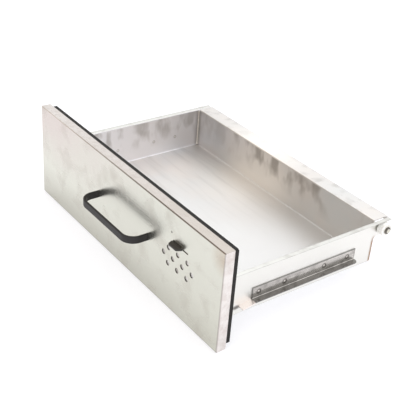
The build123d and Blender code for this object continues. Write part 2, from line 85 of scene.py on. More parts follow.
# %% Colour and node helpers
# Sockets whose names occur twice are told by number: those of Mix for colours, and those of Map Range.
AMOUNT, UNDER, OVER = 0, 6, 7
START, END, LEAST, MOST = 1, 2, 3, 4


def hexed(code):
    """Linear RGBA of an sRGB hex colour.

    Near black a channel is divided by 12.92. Else 0.055 is added, it is divided by 1.055 and raised to 2.4.
    """
    channels = np.array([int(code[i : i + 2], 16) for i in (1, 3, 5)]) / 255
    linear = np.where(channels <= 0.04045, channels / 12.92, ((channels + 0.055) / 1.055) ** 2.4)
    return (*linear.tolist(), 1.0)


def add(tree, kind, inputs=None, **settings):
    """Adds a node. Each input is linked if its value is a socket, and set if it is a number or colour."""
    node = tree.nodes.new("ShaderNode" + kind)
    for name, value in settings.items():
        setattr(node, name, value)
    for name, value in (inputs or {}).items():
        if isinstance(value, bpy.types.NodeSocket):
            tree.links.new(value, node.inputs[name])
        else:
            node.inputs[name].default_value = value
    return node


def begin(name):
    """A new material with its tree, its object coordinates and its main shader."""
    material = bpy.data.materials.new(name)
    material.use_nodes = True
    tree = material.node_tree
    tree.nodes.clear()
    shader = add(tree, "BsdfPrincipled")
    add(tree, "OutputMaterial", {"Surface": shader.outputs[0]})
    place = add(tree, "TexCoord").outputs["Object"]
    return material, tree, place, shader


def coat(finish, *names):
    """Gives the named nodes this finish as their only material."""
    for name in names:
        slots = nodes[name].data.materials
        slots.clear()
        slots.append(finish)


# Spot welds between rail and wall: their places behind the panel's face, and their height.
SPOT_PLACES = (102.0, 158.0, 248.0, 303.0)
SPOT_HEIGHT = 66.9


def spot_distance(tree, place):
    """Distance, seen from the side, to the nearest spot weld: the smallest of the four distances."""
    flat = add(tree, "VectorMath", {0: place, 1: (0, 1, 1)}, operation="MULTIPLY").outputs[0]
    nearest = None
    for spot in SPOT_PLACES:
        centre = (0, FACE_Y + spot * MM, SPOT_HEIGHT * MM)
        gap = add(tree, "VectorMath", {0: flat, 1: centre}, operation="DISTANCE").outputs["Value"]
        if nearest:
            gap = add(tree, "Math", {0: gap, 1: nearest}, operation="MINIMUM").outputs[0]
        nearest = gap
    return nearest


print("mid grey in linear light:", round(hexed("#808080")[0], 3))

# %% [markdown]
# ## The table
# Lying loose, the drawer tips back: it rests on the lower edge of the panel's back and on the tray's rear
# lower edge. The table is therefore a plane through those two edges, a few degrees off the drawer's own
# level. A white table with hardly a shadow is one that is lit from below as well, so the acrylic glows a
# little, with a haze of about 25 mm that is barely there. It could be a curved backdrop, but a plain wide
# sheet is enough because no horizon is in view.

# %% Table under the tipped drawer
TABLE_HALF = 6.0
TABLE_GAP = 0.2 * MM
lean = math.atan2(shell_low.z, REAR_IN + SHEET - PANEL_BACK_Y)
reach = np.linspace(-TABLE_HALF, TABLE_HALF, 3)
across, along = np.meshgrid(reach, reach)
table_y = PANEL_BACK_Y + along * math.cos(lean)
table_z = along * math.sin(lean) - TABLE_GAP
table_points = np.stack([across, table_y, table_z], -1)
table_mesh = bpy.data.meshes.new("table_top")
corners = np.arange(9).reshape(3, 3)
table_faces = np.stack([corners[:-1, :-1], corners[:-1, 1:], corners[1:, 1:], corners[1:, :-1]], -1)
table_mesh.from_pydata(table_points.reshape(-1, 3).tolist(), [], table_faces.reshape(-1, 4).tolist())
table = bpy.data.objects.new("table_top", table_mesh)
bpy.context.scene.collection.objects.link(table)

acrylic, tree, place, shader = begin("backlit_white_acrylic")
haze = add(tree, "TexNoise", {"Vector": place, "Scale": 40.0, "Detail": 3.0})
tint = add(
    tree, "Mix", {AMOUNT: haze.outputs[0], UNDER: hexed("#b4b4b8"), OVER: hexed("#b8b8ba")},
    data_type="RGBA"
)
tree.links.new(tint.outputs[2], shader.inputs["Base Color"])
shader.inputs["Roughness"].default_value = 0.9
shader.inputs["Emission Color"].default_value = hexed("#fdfdff")
shader.inputs["Emission Strength"].default_value = 0.64
table_mesh.materials.append(acrylic)
print("the drawer leans back by", round(math.degrees(lean), 2), "degrees")

# %% [markdown]
# ## Light
# Stainless ware is lit by large soft sources until the table is nearly pure white, and the steel then
# shows whatever stands round it. So the surroundings matter more than the lamps: bright behind and to the
# right, darker and warmer towards the front left, where the room is. A picture of a real studio could be
# wrapped round the scene, but a soft change of colour with direction is simpler to steer.

# %% Surroundings
world = bpy.data.worlds.new("white_studio")
bpy.context.scene.world = world
world.use_nodes = True
sky = world.node_tree
sky.nodes.clear()
heading = add(sky, "TexCoord").outputs["Generated"]
TOWARDS_ROOM = (-0.55, -0.78, 0.30)
room_side = add(
    sky, "VectorMath", {0: heading, 1: TOWARDS_ROOM}, operation="DOT_PRODUCT"
).outputs["Value"]
room = add(sky, "MapRange", {"Value": room_side, START: 0.35, END: 0.95}, interpolation_type="SMOOTHSTEP")
around = add(
    sky, "Mix", {AMOUNT: room.outputs[0], UNDER: hexed("#ffffff"), OVER: hexed("#e4dcd1")}, data_type="RGBA"
).outputs[2]
seen = add(sky, "LightPath").outputs["Is Camera Ray"]
shown = add(sky, "Mix", {AMOUNT: seen, UNDER: around, OVER: hexed("#ffffff")}, data_type="RGBA").outputs[2]
glow = add(sky, "Background", {"Color": shown, "Strength": 1.1})
add(sky, "OutputWorld", {"Surface": glow.outputs[0]})


def soft_box(name, place, aim, size, power):
    """A square white lamp of this size at place, turned to face aim."""
    lamp = bpy.data.lights.new(name, "AREA")
    lamp.shape = "SQUARE"
    lamp.size = size
    lamp.energy = power
    stand = bpy.data.objects.new(name, lamp)
    stand.location = place
    towards = np.array(aim) - np.array(place)
    stand.rotation_euler = (
        math.acos(-towards[2] / np.linalg.norm(towards)),
        0,
        math.atan2(towards[1], towards[0]) - math.pi / 2,
    )
    bpy.context.scene.collection.objects.link(stand)


soft_box("overhead_box", (-1.0, 1.1, 2.5), aim=(0, 0, 0), size=2.2, power=12)
soft_box("rear_right_box", (2.1, 1.7, 1.6), aim=(0, 0, 0.1), size=2.0, power=6)
bpy.context.scene.view_settings.view_transform = "Standard"
bpy.context.scene.view_settings.look = "None"
print("surroundings and", len(bpy.data.lights), "soft boxes ready")

# %% [markdown]
# ## Camera
# The camera looks down from the front right and is held a little crooked, as in a hand. Blender turns a
# camera by angles, but a slight roll is easier to say as three directions: back from the drawer, to the
# right and up. They are the columns of the camera's matrix.

# %% Camera
# Degrees round from straight in front, degrees above level, and degrees of roll.
azimuth, elevation, roll = np.radians([51.6, 30.5, 4.7])
distance = 1.6364
aim = np.array([-0.0045, 0.0197, 0.0536])
back = np.array(
    [
        math.sin(azimuth) * math.cos(elevation),
        -math.cos(azimuth) * math.cos(elevation),
        math.sin(elevation),
    ]
)
level = np.cross([0, 0, 1], back) / math.cos(elevation)
upright = np.cross(back, level)
right = math.cos(roll) * level + math.sin(roll) * upright
up = math.cos(roll) * upright - math.sin(roll) * level

lens = bpy.data.cameras.new("product_camera")
lens.lens = 73.5
lens.sensor_width = 36.0
camera = bpy.data.objects.new("product_camera", lens)
turn = np.eye(4)
turn[:3] = np.stack([right, up, back, aim + distance * back], -1)
camera.matrix_world = mathutils.Matrix(turn.tolist())
bpy.context.scene.collection.objects.link(camera)
bpy.context.scene.camera = camera
print("camera at", np.round(turn[:3, 3], 3))

# %% [markdown]
# ## Satin stainless for the panel
# The panel is folded from sheet with a fine ground grain, rubbed in one direction. That gives the eye soft,
# slightly smeared reflections, such as the handle's dark ghost above it. A plain metal shader would be too
# clean, so layers lie over it, each a colour and a mask that says where. The first are clouds of warm and
# green tint left by years of wiping, some 140 mm across, and painted shade low on the right and along the
# foot of the panel.

# %% Panel sheet
satin_panel, tree, place, shader = begin("satin_ground_stainless_sheet")
axes = add(tree, "SeparateXYZ", {"Vector": place}).outputs
# Warm towards the upper left, greener in the middle, and painted shade low on the right.
clouds = add(tree, "TexNoise", {"Vector": place, "Scale": 7.0, "Detail": 5.0, "Roughness": 0.6}).outputs[0]
upper_left = add(tree, "MapRange", {"Value": axes["X"], START: 0.12, END: -0.30}).outputs[0]
high = add(tree, "MapRange", {"Value": axes["Z"], START: 0.06, END: 0.19}).outputs[0]
blush = add(tree, "Math", {0: upper_left, 1: high}, operation="MULTIPLY").outputs[0]
blush = add(tree, "Math", {0: blush, 1: clouds}, operation="MULTIPLY").outputs[0]
blush = add(tree, "MapRange", {"Value": blush, START: 0.05, END: 0.42}).outputs[0]
steel = add(
    tree, "Mix", {AMOUNT: blush, UNDER: hexed("#d8d8ce"), OVER: hexed("#d4cbc6")}, data_type="RGBA"
).outputs[2]
low_right = add(tree, "MapRange", {"Value": axes["X"], START: -0.05, END: 0.30}).outputs[0]
low = add(tree, "MapRange", {"Value": axes["Z"], START: 0.16, END: 0.01}).outputs[0]
shade = add(tree, "Math", {0: low_right, 1: low}, operation="MULTIPLY").outputs[0]
shade = add(tree, "MapRange", {"Value": shade, START: 0.0, END: 1.0, MOST: 0.7}).outputs[0]
steel = add(tree, "Mix", {AMOUNT: shade, UNDER: steel, OVER: hexed("#d0d0c4")}, data_type="RGBA").outputs[2]
# Painted shade: the lowest 70 mm are darker, more so towards the left, where the sheet mirrors the table's
# shadow.
foot = add(tree, "MapRange", {"Value": axes["Z"], START: 0.07, END: 0.0, MOST: 0.5}).outputs[0]
leftwards = add(tree, "MapRange", {"Value": axes["X"], START: 0.30, END: 0.02, LEAST: 0.45}).outputs[0]
foot = add(tree, "Math", {0: foot, 1: leftwards}, operation="MULTIPLY").outputs[0]
steel = add(tree, "Mix", {AMOUNT: foot, UNDER: steel, OVER: hexed("#98958a")}, data_type="RGBA").outputs[2]
print("panel sheet:", len(tree.nodes), "nodes")

# %% [markdown]
# ## The panel's folded edges and smears
# The sheet is bent back round all four sides, and the top and right folds are painted paler and pinker as a
# highlight. Those edges could have a material of their own, but the faces would have to be picked by hand.
# A test of height and side finds them from the sizes alone. Wiping smears then lie over everything.

# %% Panel edges and smears
# A point is on a folded edge if it is within half the sheet of the top or of the right side.
HALF_SHEET = SHEET / 2
edge_top = add(
    tree, "Math", {0: axes["Z"], 1: face_high.z - HALF_SHEET}, operation="GREATER_THAN"
).outputs[0]
edge_side = add(
    tree, "Math", {0: axes["X"], 1: face_high.x - HALF_SHEET}, operation="GREATER_THAN"
).outputs[0]
folded = add(tree, "Math", {0: edge_top, 1: edge_side}, operation="MAXIMUM").outputs[0]
# They are mottled in patches of about 12 mm, and the top one gets painted shade towards the right.
mottle = add(tree, "TexNoise", {"Vector": place, "Scale": 85.0, "Detail": 3.0}).outputs[0]
mottle = add(tree, "MapRange", {"Value": mottle, START: 0.42, END: 0.68}).outputs[0]
painted_fold_highlight = add(
    tree, "Mix", {AMOUNT: mottle, UNDER: hexed("#e9e4e1"), OVER: hexed("#dcd4d0")}, data_type="RGBA"
).outputs[2]
painted_top_fold_shade = add(
    tree, "MapRange", {"Value": axes["X"], START: -0.28, END: 0.28, LEAST: 0.25, MOST: 0.95}
).outputs[0]
painted_top_fold_shade = add(tree, "Math", {0: edge_top, 1: painted_top_fold_shade}, operation="MULTIPLY").outputs[0]
painted_fold_highlight = add(tree, "Mix", {AMOUNT: painted_top_fold_shade, UNDER: painted_fold_highlight, OVER: hexed("#b4ada6")}, data_type="RGBA").outputs[2]
steel = add(tree, "Mix", {AMOUNT: folded, UNDER: steel, OVER: painted_fold_highlight}, data_type="RGBA").outputs[2]
# Wiping smears: blots of 20 to 60 mm, only a little darker.
blots = add(tree, "TexNoise", {"Vector": place, "Scale": 22.0, "Detail": 2.0, "Distortion": 0.1}).outputs[0]
blots = add(tree, "MapRange", {"Value": blots, START: 0.50, END: 0.80, MOST: 0.42}).outputs[0]
steel = add(tree, "Mix", {AMOUNT: blots, UNDER: steel, OVER: hexed("#aea79d")}, data_type="RGBA").outputs[2]
print("panel edges and smears:", len(tree.nodes), "nodes")

# %% [markdown]
# ## Painted shade and stains on the panel
# The folds get a dark line of painted shade, and the vent's cut holes are painted dark as the shade inside
# them. One corner is tanned by the heat of its weld. Such marks could be painted on a picture that is
# wrapped round the panel. Masks from distances need no picture, and stay sharp however close the camera
# comes.

# %% Panel painted shade and stains
# Painted shade in the top fold, stronger to the right, and a fainter line of painted shade in the right and
# bottom folds.
front_edge = add(
    tree, "MapRange", {"Value": axes["Y"], START: FACE_Y + 2.4 * MM, END: FACE_Y + 1.2 * MM}
).outputs[0]
top_fold = add(
    tree, "MapRange", {"Value": axes["Z"], START: face_high.z - 2.4 * MM, END: face_high.z - 0.9 * MM}
)
along_top = add(
    tree, "MapRange", {"Value": axes["X"], START: -0.22, END: 0.10, LEAST: 0.0, MOST: 0.85}
).outputs[0]
painted_fold_line_shade = add(tree, "Math", {0: top_fold.outputs[0], 1: along_top}, operation="MULTIPLY").outputs[0]
right_fold = add(
    tree, "MapRange",
    {"Value": axes["X"], START: face_high.x - 2.0 * MM, END: face_high.x - 0.8 * MM, MOST: 0.4}
)
painted_fold_line_shade = add(tree, "Math", {0: painted_fold_line_shade, 1: right_fold.outputs[0]}, operation="MAXIMUM").outputs[0]
base_fold = add(tree, "MapRange", {"Value": axes["Z"], START: 2.6 * MM, END: 1.0 * MM, MOST: 0.5})
painted_fold_line_shade = add(tree, "Math", {0: painted_fold_line_shade, 1: base_fold.outputs[0]}, operation="MAXIMUM").outputs[0]
painted_fold_line_shade = add(tree, "Math", {0: painted_fold_line_shade, 1: front_edge}, operation="MULTIPLY").outputs[0]
steel = add(tree, "Mix", {AMOUNT: painted_fold_line_shade, UNDER: steel, OVER: hexed("#5d5048")}, data_type="RGBA").outputs[2]
# A tan heat stain in the top right corner, where the two folds were welded together.
STAINED_CORNER = (face_high.x - 2.0 * MM, FACE_Y, face_high.z - 14.0 * MM)
stain = add(tree, "VectorMath", {0: place, 1: STAINED_CORNER}, operation="DISTANCE").outputs["Value"]
stain = add(tree, "MapRange", {"Value": stain, START: 0.034, END: 0.004, MOST: 0.5}).outputs[0]
stain = add(tree, "Math", {0: stain, 1: folded}, operation="SUBTRACT", use_clamp=True).outputs[0]
steel = add(tree, "Mix", {AMOUNT: stain, UNDER: steel, OVER: hexed("#b59f8a")}, data_type="RGBA").outputs[2]
# Painted shade on the cut edges of the vent's holes and slot, and a small dark nick above the grip.
VENT_CENTRE = (0.181, 0, 0.108)
VENT_REACH = 0.055
NICK = (0.161, 0, 0.152)
flat = add(tree, "CombineXYZ", {"X": axes["X"], "Z": axes["Z"]}).outputs[0]
by_vent = add(tree, "VectorMath", {0: flat, 1: VENT_CENTRE}, operation="DISTANCE").outputs["Value"]
by_vent = add(tree, "Math", {0: by_vent, 1: VENT_REACH}, operation="LESS_THAN").outputs[0]
painted_hole_shade_and_nick = add(
    tree, "MapRange", {"Value": axes["Y"], START: FACE_Y + 0.1 * MM, END: FACE_Y + 0.3 * MM}
).outputs[0]
painted_hole_shade_and_nick = add(tree, "Math", {0: painted_hole_shade_and_nick, 1: by_vent}, operation="MULTIPLY").outputs[0]
nick = add(tree, "VectorMath", {0: flat, 1: NICK}, operation="DISTANCE").outputs["Value"]
nick = add(tree, "MapRange", {"Value": nick, START: 2.6 * MM, END: 1.2 * MM, MOST: 0.75}).outputs[0]
painted_hole_shade_and_nick = add(tree, "Math", {0: painted_hole_shade_and_nick, 1: nick}, operation="MAXIMUM").outputs[0]
steel = add(tree, "Mix", {AMOUNT: painted_hole_shade_and_nick, UNDER: steel, OVER: hexed("#3b3530")}, data_type="RGBA").outputs[2]
tree.links.new(steel, shader.inputs["Base Color"])
print("panel dirt and stains:", len(tree.nodes), "nodes")

# %% [markdown]
# ## The panel's grain
# Grinding leaves fine scratches along the sheet. They could be cut into the mesh, but are far too fine, so
# they change how sharply the metal mirrors and tilt the light a little. A noise that is stretched to 70 mm
# along the panel stands for them, and a slow ripple of about 110 mm for sheet that is never quite flat.

# %% Panel grain and gloss
# The grain is 0.05 mm apart on the real sheet, and is drawn at about 1 mm to show at all.
stretched = add(tree, "Mapping", {"Vector": place, "Scale": (14.0, 900.0, 900.0)}).outputs[0]
grain = add(tree, "TexNoise", {"Vector": stretched, "Scale": 1.0, "Detail": 3.0}).outputs[0]
sheen = add(tree, "MapRange", {"Value": grain, LEAST: 0.20, MOST: 0.30}).outputs[0]
sheen = add(tree, "Math", {0: blots, 1: 0.2, 2: sheen}, operation="MULTIPLY_ADD").outputs[0]
tree.links.new(sheen, shader.inputs["Roughness"])
ripple = add(tree, "TexNoise", {"Vector": place, "Scale": 9.0, "Detail": 1.0}).outputs[0]
relief = add(tree, "Math", {0: ripple, 1: 14.0, 2: grain}, operation="MULTIPLY_ADD").outputs[0]
bumps = add(tree, "Bump", {"Height": relief, "Strength": 0.25, "Distance": 0.00012})
tree.links.new(bumps.outputs[0], shader.inputs["Normal"])
shader.inputs["Metallic"].default_value = 1.0
coat(satin_panel, "front_skin")
print(satin_panel.name, len(tree.nodes), "nodes")

# %% [markdown]
# ## Mill finish stainless for the tray
# The tray is plain cold-rolled sheet, duller and greyer than the panel, with slow clouds of about 110 mm.
# Its outside walls are painted paler, as a lit copy of the sheet, and its rims get painted shade. They
# could be three materials, but the walls are single sheets and their two sides belong to one mesh. So a
# test of how far a point lies from the middle tells the inside from the outside.

# %% Tray sheet
mill_sheet, tree, place, shader = begin("cold_rolled_stainless_sheet")
axes = add(tree, "SeparateXYZ", {"Vector": place}).outputs
clouds = add(tree, "TexNoise", {"Vector": place, "Scale": 9.0, "Detail": 4.0}).outputs[0]
clouds = add(tree, "MapRange", {"Value": clouds, START: 0.35, END: 0.7}).outputs[0]
steel = add(
    tree, "Mix", {AMOUNT: clouds, UNDER: hexed("#d9d9d8"), OVER: hexed("#e0dad5")}, data_type="RGBA"
).outputs[2]
inside = add(tree, "Math", {0: axes["X"]}, operation="ABSOLUTE").outputs[0]
inside = add(tree, "Math", {0: inside, 1: WALL_IN + 0.4 * MM}, operation="LESS_THAN").outputs[0]
outside = add(tree, "Math", {0: 1.0, 1: inside}, operation="SUBTRACT").outputs[0]
# Outside walls painted paler as light, and the rims painted darker as shade.
under_fold = add(tree, "Math", {0: axes["Z"], 1: RIM_Z - 2.4 * MM}, operation="LESS_THAN").outputs[0]
painted_light_walls = add(tree, "Math", {0: outside, 1: under_fold}, operation="MULTIPLY").outputs[0]
steel = add(tree, "Mix", {AMOUNT: painted_light_walls, UNDER: steel, OVER: hexed("#ecebe7")}, data_type="RGBA").outputs[2]
painted_shade_rims = add(tree, "Math", {0: outside, 1: painted_light_walls}, operation="SUBTRACT").outputs[0]
steel = add(tree, "Mix", {AMOUNT: painted_shade_rims, UNDER: steel, OVER: hexed("#d3d3cf")}, data_type="RGBA").outputs[2]
# Flat tops are handled most, and carry small grey spots, about 20 mm apart.
on_top = add(tree, "Math", {0: axes["Z"], 1: RIM_Z, 2: 1.5 * MM}, operation="COMPARE").outputs[0]
spots = add(tree, "TexNoise", {"Vector": place, "Scale": 48.0, "Detail": 4.0}).outputs[0]
spots = add(tree, "MapRange", {"Value": spots, START: 0.50, END: 0.72, MOST: 0.4}).outputs[0]
spots = add(tree, "Math", {0: spots, 1: on_top}, operation="MULTIPLY").outputs[0]
steel = add(tree, "Mix", {AMOUNT: spots, UNDER: steel, OVER: hexed("#9d9a94")}, data_type="RGBA").outputs[2]
# The left wall is a cooler, cleaner grey, and a painted highlight lies across the middle of the rear wall.
on_left = add(tree, "Math", {0: axes["X"], 1: -WALL_IN + 2.5 * MM}, operation="LESS_THAN").outputs[0]
on_left = add(tree, "Math", {0: on_left, 1: inside}, operation="MULTIPLY").outputs[0]
steel = add(
    tree, "Mix", {AMOUNT: on_left, UNDER: steel, OVER: hexed("#f3f1f4")}, data_type="RGBA"
).outputs[2]
PAINTED_HIGHLIGHT_PLACE = (-0.06, REAR_IN, 0.07)
painted_rear_highlight = add(tree, "VectorMath", {0: place, 1: PAINTED_HIGHLIGHT_PLACE}, operation="DISTANCE").outputs["Value"]
painted_rear_highlight = add(
    tree, "MapRange", {"Value": painted_rear_highlight, START: 0.15, END: 0.03, MOST: 0.8}, interpolation_type="SMOOTHSTEP"
)
steel = add(
    tree, "Mix", {AMOUNT: painted_rear_highlight.outputs[0], UNDER: steel, OVER: hexed("#fbf6f0")}, data_type="RGBA"
).outputs[2]
print("tray sheet:", len(tree.nodes), "nodes")

# %% [markdown]
# ## The tray's floor
# The floor is painted paler as a highlight, all but the far left corner, which is left in painted shade.
# The distance from a point near that corner is all the mask this needs. Faint drag marks, some 14 mm apart
# and 170 mm long, are left where the floor stays in that shade.

# %% Tray floor
on_floor = add(tree, "Math", {0: axes["Z"], 1: FLOOR_Z + 1.0 * MM}, operation="LESS_THAN").outputs[0]
# Painted highlight on the floor, fading to painted shade near the far left corner.
SHADED_CORNER_PLACE = (-WALL_IN, REAR_IN - 100.0 * MM, FLOOR_Z)
far_left = add(tree, "VectorMath", {0: place, 1: SHADED_CORNER_PLACE}, operation="DISTANCE")
wear_and_painted_floor_highlight = add(tree, "MapRange", {"Value": far_left.outputs["Value"], START: 0.10, END: 0.40}).outputs[0]
wear_and_painted_floor_highlight = add(tree, "Math", {0: wear_and_painted_floor_highlight, 1: on_floor}, operation="MULTIPLY").outputs[0]
steel = add(
    tree, "Mix", {AMOUNT: wear_and_painted_floor_highlight, UNDER: steel, OVER: hexed("#e0e0e0")}, data_type="RGBA"
).outputs[2]
drags = add(tree, "Mapping", {"Vector": place, "Scale": (6.0, 70.0, 1.0)}).outputs[0]
drags = add(tree, "TexNoise", {"Vector": drags, "Scale": 1.0, "Detail": 3.0}).outputs[0]
drags = add(tree, "MapRange", {"Value": drags, START: 0.50, END: 0.66, MOST: 0.16}).outputs[0]
floor_in_painted_shade = add(tree, "Math", {0: on_floor, 1: wear_and_painted_floor_highlight}, operation="SUBTRACT", use_clamp=True).outputs[0]
drags = add(tree, "Math", {0: drags, 1: floor_in_painted_shade}, operation="MULTIPLY").outputs[0]
steel = add(tree, "Mix", {AMOUNT: drags, UNDER: steel, OVER: hexed("#a29e9b")}, data_type="RGBA").outputs[2]
print("tray floor:", len(tree.nodes), "nodes")

# %% [markdown]
# ## Hands on the walls
# A drawer is lifted by its walls, so greasy finger marks run down inside them from the rim. They are about
# 15 mm wide and 30 mm tall, and come in patches of some 120 mm. A noise that is squeezed sideways makes the
# marks, a broad one makes the patches, and a few tests keep both inside the tray and below its rim.

# %% Hand smears
fingers = add(tree, "Mapping", {"Vector": place, "Scale": (36.0, 40.0, 19.0)}).outputs[0]
smears = add(
    tree, "TexNoise", {"Vector": fingers, "Scale": 1.0, "Detail": 2.0, "Roughness": 0.5}
).outputs[0]
smears = add(tree, "MapRange", {"Value": smears, START: 0.46, END: 0.64}).outputs[0]
patches = add(tree, "TexNoise", {"Vector": place, "Scale": 8.5, "Detail": 1.0}).outputs[0]
patches = add(tree, "MapRange", {"Value": patches, START: 0.44, END: 0.58}).outputs[0]
near_corner = add(
    tree, "MapRange", {"Value": far_left.outputs["Value"], START: 0.22, END: 0.08, MOST: 0.8}
).outputs[0]
patches = add(tree, "Math", {0: patches, 1: near_corner}, operation="MAXIMUM").outputs[0]
under_rim = add(tree, "MapRange", {"Value": axes["Z"], START: 0.055, END: 0.095}).outputs[0]
below_rim = add(tree, "Math", {0: axes["Z"], 1: RIM_Z - 3 * MM}, operation="LESS_THAN").outputs[0]
hands = add(tree, "Math", {0: smears, 1: patches}, operation="MULTIPLY").outputs[0]
hands = add(tree, "Math", {0: hands, 1: under_rim}, operation="MULTIPLY").outputs[0]
hands = add(tree, "Math", {0: hands, 1: inside}, operation="MULTIPLY").outputs[0]
hands = add(tree, "Math", {0: hands, 1: below_rim}, operation="MULTIPLY").outputs[0]
facing_in = add(tree, "Math", {0: axes["Y"], 1: REAR_IN + 0.5 * MM}, operation="LESS_THAN").outputs[0]
hands = add(tree, "Math", {0: hands, 1: facing_in}, operation="MULTIPLY").outputs[0]
hands = add(tree, "Math", {0: hands, 1: 0.6}, operation="MULTIPLY").outputs[0]
steel = add(tree, "Mix", {AMOUNT: hands, UNDER: steel, OVER: hexed("#938a80")}, data_type="RGBA").outputs[2]
print("hand smears:", len(tree.nodes), "nodes")

# %% [markdown]
# ## Weld marks, stains and painted shade
# Spot welding presses two sheets together and leaves a dark ring round a dimple, with a painted highlight
# in its middle, and the heat of the corner welds colours the steel beside them tan. The rear inside corners
# get painted shade. All of these follow from distances to where the welds are. A painted shadow on the wall
# in front of the right rail's ramp is simply placed.

# %% Weld marks, stains and painted shade
weld_gap = spot_distance(tree, place)
# Each spot weld: a dark ring, with a painted highlight in its middle.
ring = add(tree, "MapRange", {"Value": weld_gap, START: 4.2 * MM, END: 2.6 * MM, MOST: 0.45}).outputs[0]
bead = add(tree, "MapRange", {"Value": weld_gap, START: 2.0 * MM, END: 1.2 * MM, MOST: 0.9}).outputs[0]
steel = add(tree, "Mix", {AMOUNT: ring, UNDER: steel, OVER: hexed("#7d756d")}, data_type="RGBA").outputs[2]
steel = add(tree, "Mix", {AMOUNT: bead, UNDER: steel, OVER: hexed("#fbf8f4")}, data_type="RGBA").outputs[2]
# Painted shade in the rear inside corners, on both sides of their weld.
level = add(tree, "VectorMath", {0: place, 1: (1, 1, 0)}, operation="MULTIPLY").outputs[0]
mirrored = add(tree, "VectorMath", {0: level}, operation="ABSOLUTE").outputs[0]
corner = add(
    tree, "VectorMath", {0: mirrored, 1: (WALL_IN, REAR_IN, 0)}, operation="DISTANCE"
).outputs["Value"]
corner = add(tree, "MapRange", {"Value": corner, START: 11.0 * MM, END: 2.0 * MM, MOST: 0.55}).outputs[0]
corner = add(tree, "Math", {0: corner, 1: inside}, operation="MULTIPLY").outputs[0]
corner = add(tree, "Math", {0: corner, 1: below_rim}, operation="MULTIPLY").outputs[0]
steel = add(
    tree, "Mix", {AMOUNT: corner, UNDER: steel, OVER: hexed("#8f8a87")}, data_type="RGBA"
).outputs[2]
# Tan stain down the outside of each rear corner.
by_corner = add(tree, "Math", {0: axes["Y"], 1: REAR_IN + SHEET}, operation="SUBTRACT").outputs[0]
by_corner = add(tree, "Math", {0: by_corner}, operation="ABSOLUTE").outputs[0]
heat = add(tree, "MapRange", {"Value": by_corner, START: 6.0 * MM, END: 0.8 * MM}).outputs[0]
below_ear = add(tree, "MapRange", {"Value": axes["Z"], START: 0.092, END: 0.078}).outputs[0]
heat = add(tree, "Math", {0: heat, 1: below_ear}, operation="MULTIPLY").outputs[0]
heat = add(tree, "Math", {0: heat, 1: outside}, operation="MULTIPLY").outputs[0]
steel = add(tree, "Mix", {AMOUNT: heat, UNDER: steel, OVER: hexed("#8c6038")}, data_type="RGBA").outputs[2]
# The painted shadow is wider than it is tall, so heights count for more in its distance.
FLATTEN = 2.2
PAINTED_SHADOW_PLACE = (0.2712, -0.1235, FLATTEN * 0.0495)
slim = add(tree, "VectorMath", {0: place, 1: (1, 1, FLATTEN)}, operation="MULTIPLY").outputs[0]
painted_ramp_shadow = add(tree, "VectorMath", {0: slim, 1: PAINTED_SHADOW_PLACE}, operation="DISTANCE").outputs["Value"]
painted_ramp_shadow = add(tree, "MapRange", {"Value": painted_ramp_shadow, START: 12.0 * MM, END: 4.0 * MM, MOST: 0.8}).outputs[0]
steel = add(tree, "Mix", {AMOUNT: painted_ramp_shadow, UNDER: steel, OVER: hexed("#4e4640")}, data_type="RGBA").outputs[2]
tree.links.new(steel, shader.inputs["Base Color"])
print("weld marks and stains:", len(tree.nodes), "nodes")

# %% [markdown]
# ## The tray's gloss and relief
# Rolled sheet is smooth but not flat, so a wave of about 90 mm bends its reflections. Spot welds are small
# dimples, seen from either side of the wall. The rear wall meets the floor in a ground fillet, which shows
# as a bright line. All three are too shallow to be worth cutting into a mesh, so they only tilt the light.

# %% Tray gloss and relief
sheen = add(tree, "MapRange", {"Value": clouds, LEAST: 0.34, MOST: 0.42}).outputs[0]
sheen = add(tree, "Math", {0: hands, 1: 0.22, 2: sheen}, operation="MULTIPLY_ADD").outputs[0]
sheen = add(tree, "Math", {0: on_floor, 1: 0.12, 2: sheen}, operation="MULTIPLY_ADD").outputs[0]
tree.links.new(sheen, shader.inputs["Roughness"])
dimples = add(
    tree, "MapRange", {"Value": weld_gap, START: 1.0 * MM, END: 3.6 * MM}, interpolation_type="SMOOTHSTEP"
)
wave = add(tree, "TexNoise", {"Vector": place, "Scale": 11.0, "Detail": 1.5}).outputs[0]
relief = add(tree, "Math", {0: wave, 1: 2.2, 2: dimples.outputs[0]}, operation="MULTIPLY_ADD").outputs[0]
# The fillet reaches 1.8 mm up the rear wall and as far out on the floor.
FILLET = 1.8 * MM
wall_foot = add(tree, "MapRange", {"Value": axes["Z"], START: FLOOR_Z + FILLET, END: FLOOR_Z}).outputs[0]
floor_foot = add(tree, "MapRange", {"Value": axes["Y"], START: REAR_IN - FILLET, END: REAR_IN}).outputs[0]
fillet = add(tree, "Math", {0: wall_foot, 1: floor_foot}, operation="MULTIPLY").outputs[0]
fillet = add(tree, "Math", {0: fillet, 1: inside}, operation="MULTIPLY").outputs[0]
relief = add(tree, "Math", {0: fillet, 1: 8.0, 2: relief}, operation="MULTIPLY_ADD").outputs[0]
bumps = add(tree, "Bump", {"Height": relief, "Strength": 0.5, "Distance": 0.0003})
tree.links.new(bumps.outputs[0], shader.inputs["Normal"])
shader.inputs["Metallic"].default_value = 1.0
coat(mill_sheet, "tray_shell", "tray_rear_wall", "tray_front_wall")
coat(mill_sheet, "back_skin", "vent_damper", "vent_guide_lower", "vent_guide_upper")
print(mill_sheet.name, len(tree.nodes), "nodes")

# %% [markdown]
# ## Bright drawn angle for the rails
# The rails are smoother and darker than the tray beside them: they mirror the room instead of catching the
# lamps. Drawing leaves fine streaks along them, made some 3 mm apart here so that they show, and use has
# rubbed patches of about 17 mm. The shelf and the leg's cut edges get painted shade, and the ramp at the
# front gets a painted highlight, nearly white. A stretched noise and three masks say all of that.

